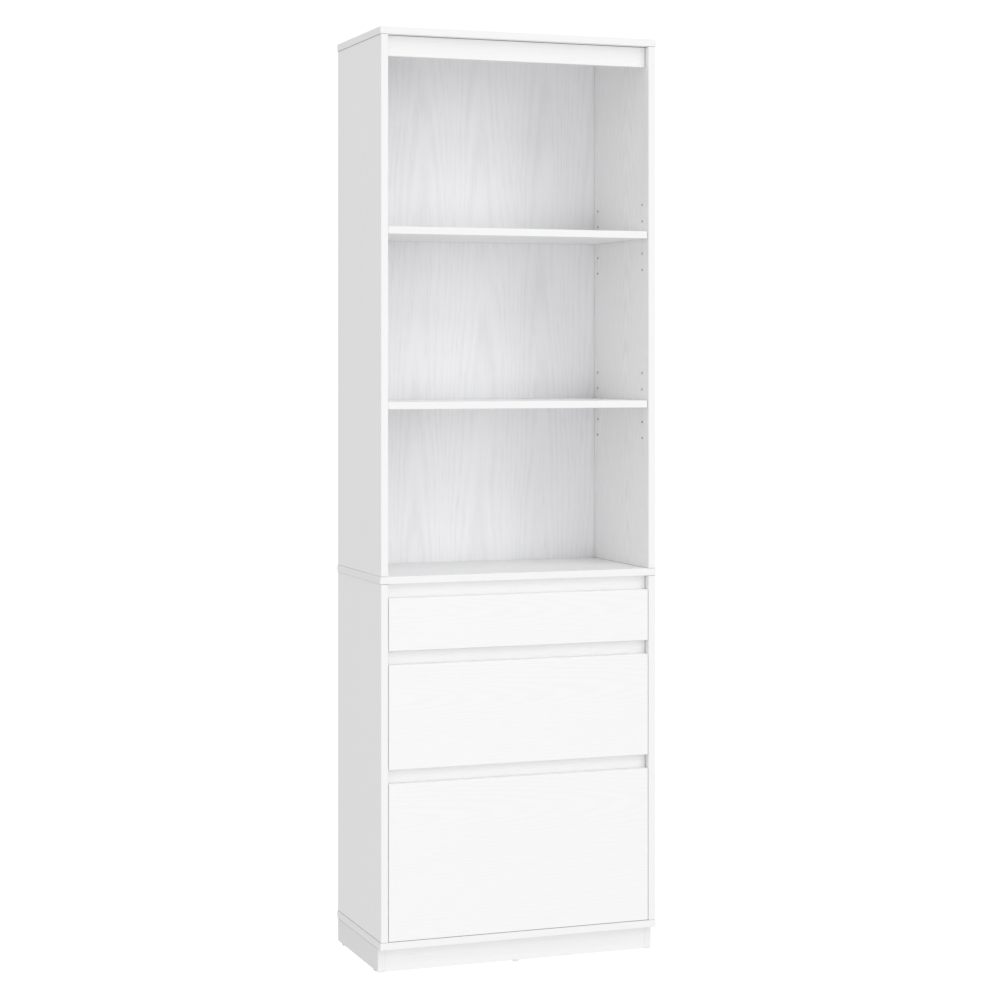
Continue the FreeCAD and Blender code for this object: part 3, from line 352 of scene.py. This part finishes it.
# The rails' sawn top and ends, their darker chips and the strips beside them are painted shade under the
# top panel and at the rails' ends.
RAIL_BOARD = melamine("pressed_melamine_on_rails", "X", "Y", (-640, 140, 40), dark="#F8F8F8",
                      sawn=ENDS_X + (("Z", 1),), chips=JOINT_SHADE_CHIPS,
                      shade_strips=(("Z", RAIL_HIGH.z - NARROW_JOINT_SHADE_STRIP, RAIL_HIGH.z),
                            ("X", RAIL_HIGH.x - NARROW_JOINT_SHADE_STRIP, RAIL_HIGH.x),
                            ("X", RAIL_LOW.x, RAIL_LOW.x + NARROW_JOINT_SHADE_STRIP)))
DEEP_BOARD = melamine("pressed_melamine_on_box_sides", "Y", "X", (-330, 250, 0))
# The plinth sides' darker white is painted shade from the nearby floor; the strip at their top and the
# darker chips are painted shade under the base panel's overhang.
PLINTH_SIDE = melamine("pressed_melamine_on_plinth_sides", "Y", "X", (-330, 250, 0),
                       light="#F4F4F4", dark="#F0F0F0", sawn=ENDS_Z,
                       shade_strips=(("Z", PLINTH_TOP - JOINT_SHADE_STRIP, PLINTH_TOP),), chips=JOINT_SHADE_CHIPS)
HARDBOARD = lacquered_hardboard("rolled_lacquer_on_hardboard")
RUNNER_STEEL = powder_coat("powder_coated_steel")
NYLON = moulded("natural_nylon", "#EFEBDD", "#E6E1D1", 0.42, 0.35)
GLIDE_PLASTIC = moulded("white_polyethylene", "#F9F9F7", "#F3F3F1", 0.5, 0.15)
CAST_ZINC = plated("die_cast_zinc", "#A7A9AB", "#8C8F92", 0.38, 0.55, (1.5, 1.5, 1.5))
PLATED_STEEL = plated("zinc_plated_steel", "#C9CCD0", "#A9ADB4", 0.22, 0.36)
NICKEL = plated("nickel_plated_steel", "#C8C3B8", "#B0AA9E", 0.16, 0.26)
BEECH = raw_beech("raw_beech")


def board_finish(node):
    """The finish of one node, by what the piece is and which way its grain runs."""
    if node in FRONT_BOARDS:
        return FRONT_BOARDS[node]
    if node.endswith("_bottom") and node.startswith("drawer_"):
        return HARDBOARD
    if node.endswith("_side_left") or node.endswith("_side_right"):
        owner = node.split("_")[0]
        return {"drawer": DEEP_BOARD, "plinth": PLINTH_SIDE}.get(owner, UPRIGHT_SIDE)
    if node in ("top_panel", "middle_panel", "base_panel", "shelf_upper", "shelf_lower"):
        return LEVEL_BOARD
    if node.endswith("_back_panel"):
        return UPRIGHT_BACK
    return RAIL_BOARD if "rail" in node else CROSS_BOARD


FITTING_FINISHES = {
    "shelf_pins": NICKEL, "plinth_glides": GLIDE_PLASTIC, "wood_dowels": BEECH,
    "cam_locks": CAST_ZINC, "cam_bolts": PLATED_STEEL, "confirmat_screws": PLATED_STEEL,
    "runner_screws": PLATED_STEEL,
}
for drawer in DRAWERS:
    FITTING_FINISHES[f"cabinet_runners_{drawer}"] = RUNNER_STEEL
    FITTING_FINISHES[f"drawer_{drawer}_runners"] = RUNNER_STEEL
    FITTING_FINISHES[f"cabinet_rollers_{drawer}"] = NYLON
    FITTING_FINISHES[f"drawer_{drawer}_rollers"] = NYLON
    FITTING_FINISHES[f"drawer_{drawer}_screws"] = PLATED_STEEL
    FITTING_FINISHES[f"drawer_{drawer}_cam_fittings"] = CAST_ZINC


# ---------------------------------------------------------------- edges of the boards
EDGE_ROUNDING = 0.25 * MM       # where the scraper ran over the edging, and at hole rims
WELD_REACH = 0.002 * MM
SHARP_ANGLE = math.radians(35)  # edges that turn more than this are edges to the eye


def soften(piece):
    """Joins the node's loose triangles and rounds its edges, also those along the broken corners."""
    weld = piece.modifiers.new("joined_faces", "WELD")
    weld.merge_threshold = WELD_REACH
    bevel = piece.modifiers.new("rounded_edges", "BEVEL")
    bevel.width = EDGE_ROUNDING
    bevel.segments = 2
    bevel.limit_method = "ANGLE"
    bevel.angle_limit = SHARP_ANGLE
    bevel.use_clamp_overlap = False
    bevel.harden_normals = True


for node_name, node in NODES.items():
    finish = FITTING_FINISHES.get(node_name) or board_finish(node_name)
    for holder in node.material_slots:
        holder.material = finish
    if node_name not in FITTING_FINISHES:
        soften(node)


# ---------------------------------------------------------------- screws with driver recesses
ROUND = 24
RUNNER_SCREW = 11.3             # length, mm
BOX_SCREW = 32.0
PAN_HEAD = (3.3, 1.3)           # radius and height, mm
PAN_CROSS = (1.9, 0.62, 0.95)   # arm length, notch radius and depth, mm
CROSS_TAPER = 0.55              # the cross at its bottom, as a share of its mouth
PAN_THREAD = {"core": 1.2, "crest": 1.75, "pitch": 1.4}
PAN_TIP = 0.2                   # radius, mm
CONFIRMAT_HEX = (2.31, 1.9)     # corner radius of the 4 mm hexagon socket and its depth, mm
CONFIRMAT_RIM = 4.7             # radius of the flat of the head, mm
CONFIRMAT_SHANK = [(5.0, 0.3), (5.0, 2.6), (3.5, 3.0), (3.5, 15.0)]     # radius and depth, mm
CONFIRMAT_THREAD = {"core": 2.5, "crest": 3.3, "pitch": 2.8, "start": 15.2, "end": 46.0}
CONFIRMAT_TIP = [(2.5, 46.5), (1.2, 50.0)]


def islands(node_name):
    """Lowest and highest corner of each loose piece of a node, in metres."""
    loose = bmesh.new()
    loose.from_mesh(NODES[node_name].data)
    bmesh.ops.remove_doubles(loose, verts=loose.verts, dist=WELD_REACH)
    seen = set()
    found = []
    for first in loose.verts:
        if first in seen:
            continue
        seen.add(first)
        waiting = [first]
        corners = []
        while waiting:
            vertex = waiting.pop()
            corners.append(vertex.co.copy())
            for edge in vertex.link_edges:
                other = edge.other_vert(vertex)
                if other not in seen:
                    seen.add(other)
                    waiting.append(other)
        found.append((Vector([min(corner[axis] for corner in corners) for axis in range(3)]),
                      Vector([max(corner[axis] for corner in corners) for axis in range(3)])))
    loose.free()
    return found


def drawn_out(shape, loop, stations):
    """Extrudes a ring of edges through (radius, depth) stations in mm, and returns the last ring."""
    for radius, depth in stations:
        moved = bmesh.ops.extrude_edge_only(shape, edges=loop)["geom"]
        ring = [part for part in moved if isinstance(part, bmesh.types.BMVert)]
        loop = [part for part in moved if isinstance(part, bmesh.types.BMEdge)]
        for vertex in ring:
            flat = Vector((vertex.co.x, vertex.co.y)).normalized() * radius
            vertex.co = (flat.x, flat.y, -depth)
    return loop


def socketed_head(shape, rim_radius, outline, depth, taper):
    """The flat of a head with a recess in it, at the origin and looking along +Z; returns the rim."""
    rim = bmesh.ops.create_circle(shape, segments=ROUND, radius=rim_radius)["verts"]
    mouth = bmesh.ops.create_circle(shape, segments=len(outline), radius=1.0)["verts"]
    for vertex, radius in zip(mouth, outline):
        vertex.co *= radius
    rim_edges = [edge for edge in shape.edges if all(end in rim for end in edge.verts)]
    mouth_edges = [edge for edge in shape.edges if all(end in mouth for end in edge.verts)]
    bmesh.ops.triangle_fill(shape, edges=rim_edges + mouth_edges, use_beauty=True)
    moved = bmesh.ops.extrude_edge_only(shape, edges=mouth_edges)["geom"]
    floor = [part for part in moved if isinstance(part, bmesh.types.BMVert)]
    bmesh.ops.scale(shape, vec=(taper, taper, 1), verts=floor)
    bmesh.ops.translate(shape, vec=(0, 0, -depth), verts=floor)
    bmesh.ops.triangle_fill(
        shape, edges=[part for part in moved if isinstance(part, bmesh.types.BMEdge)], use_beauty=True)
    return rim_edges


def thread(core, crest, pitch, start, end):
    """Stations of a coarse screw thread, drawn as rings."""
    stations = [(core, start)]
    for turn in range(int((end - start) / pitch)):
        top = start + turn * pitch
        stations += [(core, top + 0.2 * pitch), (crest, top + 0.5 * pitch), (core, top + 0.8 * pitch)]
    return stations


def confirmat():
    """Flat-headed confirmat screw, 50 mm: hexagon socket, plain neck, coarse thread."""
    shape = bmesh.new()
    corner, depth = CONFIRMAT_HEX
    rim = socketed_head(shape, CONFIRMAT_RIM, [corner] * 6, depth, 1.0)
    loop = drawn_out(shape, rim, CONFIRMAT_SHANK + thread(**CONFIRMAT_THREAD) + CONFIRMAT_TIP)
    bmesh.ops.triangle_fill(shape, edges=loop, use_beauty=True)
    return shape


def pan_head(length):
    """Pan-headed chipboard screw with a cross recess, its head's top at the origin."""
    shape = bmesh.new()
    arm, notch, depth = PAN_CROSS
    radius, height = PAN_HEAD
    rim = socketed_head(shape, radius - 0.8, [arm, arm, notch] * 4, depth, CROSS_TAPER)
    head = [(radius - 0.25, 0.35), (radius, 0.8), (radius, height), (PAN_THREAD["crest"], height)]
    turns = thread(start=height + 0.2, end=length - 2.5, **PAN_THREAD)
    tip = [(PAN_THREAD["core"], length - 2.2), (PAN_TIP, length)]
    loop = drawn_out(shape, rim, head + turns + tip)
    bmesh.ops.triangle_fill(shape, edges=loop, use_beauty=True)
    return shape


def linked(name, data):
    """An object of this mesh, lamp or camera, in the scene."""
    made = bpy.data.objects.new(name, data)
    bpy.context.scene.collection.objects.link(made)
    return made


def piece_of(name, shape, finish, body):
    """An object from a finished shape, riding on its body."""
    bmesh.ops.remove_doubles(shape, verts=shape.verts, dist=WELD_REACH)
    bmesh.ops.recalc_face_normals(shape, faces=shape.faces)
    mesh = bpy.data.meshes.new(name)
    shape.to_mesh(mesh)
    shape.free()
    mesh.materials.append(finish)
    mesh.shade_smooth()
    mesh.set_sharp_from_angle(angle=SHARP_ANGLE)
    piece = linked(name, mesh)
    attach(piece, body)
    return piece


def copies(*groups):
    """One shape with a copy of each pattern, drawn in mm, at each of its placements."""
    together = bmesh.new()
    for pattern, placements in groups:
        drawn = bpy.data.meshes.new("pattern")
        pattern.to_mesh(drawn)
        pattern.free()
        for placement in placements:
            before = len(together.verts)
            together.from_mesh(drawn)
            together.verts.ensure_lookup_table()
            bmesh.ops.transform(together, matrix=placement @ Matrix.Scale(MM, 4),
                                verts=together.verts[before:])
        bpy.data.meshes.remove(drawn)
    return together


def looking(point, direction):
    """The placement of a screw whose head looks along a direction, with its top at a point."""
    return Matrix.Translation(point) @ Vector(direction).to_track_quat("Z", "Y").to_matrix().to_4x4()


def confirmat_places():
    """Heads in the outer face of the top panel look up, those under the other panels look down."""
    top_face = CAD_BOX[1].z
    for low, high in islands("confirmat_screws"):
        middle = (low + high) / 2
        up = high.z > top_face - MM
        yield looking((middle.x, middle.y, high.z if up else low.z), (0, 0, 1 if up else -1))


def cross_places(node_name, sideways):
    """Screws that lie across the cabinet, or stand upright under a box side."""
    for low, high in islands(node_name):
        middle = (low + high) / 2
        lies = high.x - low.x > high.z - low.z
        if lies != sideways:
            continue
        if not lies:
            yield looking((middle.x, middle.y, low.z), (0, 0, -1))
        elif node_name == "runner_screws":
            inner = high.x if middle.x < 0 else low.x
            yield looking((inner, middle.y, middle.z), (-math.copysign(1, middle.x), 0, 0))
        else:
            outer = low.x if middle.x < 0 else high.x
            yield looking((outer, middle.y, middle.z), (math.copysign(1, middle.x), 0, 0))


screws = piece_of("socketed_confirmats", copies((confirmat(), confirmat_places())), PLATED_STEEL,
                  "carcass")
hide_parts("confirmat_screws")

screws = piece_of("runner_screws_crossed",
                  copies((pan_head(RUNNER_SCREW), cross_places("runner_screws", True))),
                  PLATED_STEEL, "carcass")
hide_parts("runner_screws")

for drawer in DRAWERS:
    node_name = f"drawer_{drawer}_screws"
    both_lengths = copies((pan_head(BOX_SCREW), cross_places(node_name, True)),
                          (pan_head(RUNNER_SCREW), cross_places(node_name, False)))
    screws = piece_of(f"drawer_{drawer}_screws_crossed", both_lengths, PLATED_STEEL,
                      f"drawer_{drawer}")
    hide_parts(node_name)


# ---------------------------------------------------------------- studio
WHITE = (1.0, 1.0, 1.0, 1.0)
FLOOR_HALF = 30.0               # metres
FLOOR_GREY = (0.05, 0.05, 0.05, 1.0)
BACKDROP_LIGHT = 1.05           # backdrop and floor where the camera sees them
ROOM_LIGHT = 0.706              # what the backdrop gives the bookcase
FLOOR_LIGHT = 0.616             # what the floor gives it
PANEL_SPREAD = 21.0             # degrees that a far panel fills
FAR_PANELS = {                  # azimuth and elevation in degrees, and strength
    "left_panel": (-65, 15, 0.050),
    "low_right_panel": (35, 8, 0.331),
    "high_right_panel": (15, 35, 0.283),
    "overhead_panel": (0, 60, 0.326),
    "rear_panel": (180, 35, 0.50),
}
EYE = (-1.7277, -4.7452, 1.2356)
TURN = math.radians(20.12)      # from straight on towards the right
FOCAL_LENGTH = 86.58            # mm
SENSOR = 36.0                   # mm
RISE = -0.1415                  # shift of the lens, which stays level
SIGHT = 200.0                   # metres

floor_shape = bmesh.new()
bmesh.ops.create_grid(floor_shape, x_segments=2, y_segments=2, size=FLOOR_HALF)
floor_mesh = bpy.data.meshes.new("floor")
floor_shape.to_mesh(floor_mesh)
floor_shape.free()
floor = linked("floor", floor_mesh)
floor_paint, floor_tree = blank("pale_floor_paint")
glow = ranged(floor_tree, add(floor_tree, "LightPath").outputs["Is Camera Ray"],
              0.0, 1.0, FLOOR_LIGHT, BACKDROP_LIGHT)
surface(floor_tree, Base_Color=FLOOR_GREY, Roughness=0.9, Specular_IOR_Level=0.0,
        Emission_Color=WHITE, Emission_Strength=glow)
floor_mesh.materials.append(floor_paint)

world = bpy.data.worlds.new("studio")
bpy.context.scene.world = world
world.use_nodes = True
air = world.node_tree
air.nodes.clear()
room = add(air, "Background", {"Color": WHITE, "Strength": ROOM_LIGHT})
backdrop = add(air, "Background", {"Color": WHITE, "Strength": BACKDROP_LIGHT})
seen = add(air, "MixShader", {0: add(air, "LightPath").outputs["Is Camera Ray"],
                              1: room.outputs["Background"], 2: backdrop.outputs["Background"]})
add(air, "OutputWorld", {"Surface": seen.outputs["Shader"]})


def far_panel(name, azimuth, elevation, strength):
    """Light of a large far panel: degrees from straight on to the right, and above the level."""
    lamp = bpy.data.lights.new(name, "SUN")
    lamp.energy = strength
    lamp.angle = math.radians(PANEL_SPREAD)
    turn, rise = math.radians(azimuth), math.radians(elevation)
    towards = Vector((math.sin(turn) * math.cos(rise), -math.cos(turn) * math.cos(rise), math.sin(rise)))
    linked(name, lamp).rotation_euler = towards.to_track_quat("Z", "Y").to_euler()


def near_panel(name, azimuth, distance, size, height, strength):
    """A panel behind the camera that stands on the floor: its size and middle height in metres."""
    lamp = bpy.data.lights.new(name, "AREA")
    lamp.shape = "RECTANGLE"
    lamp.size, lamp.size_y = size
    lamp.energy = strength * math.pi * distance ** 2
    turn = math.radians(azimuth)
    towards = Vector((math.sin(turn), -math.cos(turn), 0))
    panel = linked(name, lamp)
    panel.location = (towards.x * distance, towards.y * distance, height)
    panel.rotation_euler = towards.to_track_quat("Z", "Y").to_euler()


for panel_name, placing in FAR_PANELS.items():
    far_panel(panel_name, *placing)
near_panel("camera_panel", azimuth=-20, distance=6.0, size=(3.0, 1.18), height=0.61, strength=0.278)

lens = bpy.data.cameras.new("camera")
lens.lens = FOCAL_LENGTH
lens.sensor_width = SENSOR
lens.shift_y = RISE
lens.clip_end = SIGHT
camera = linked("camera", lens)
camera.location = EYE
camera.rotation_euler = (math.radians(90), 0, -TURN)
bpy.context.scene.camera = camera
bpy.context.scene.view_settings.view_transform = "Standard"
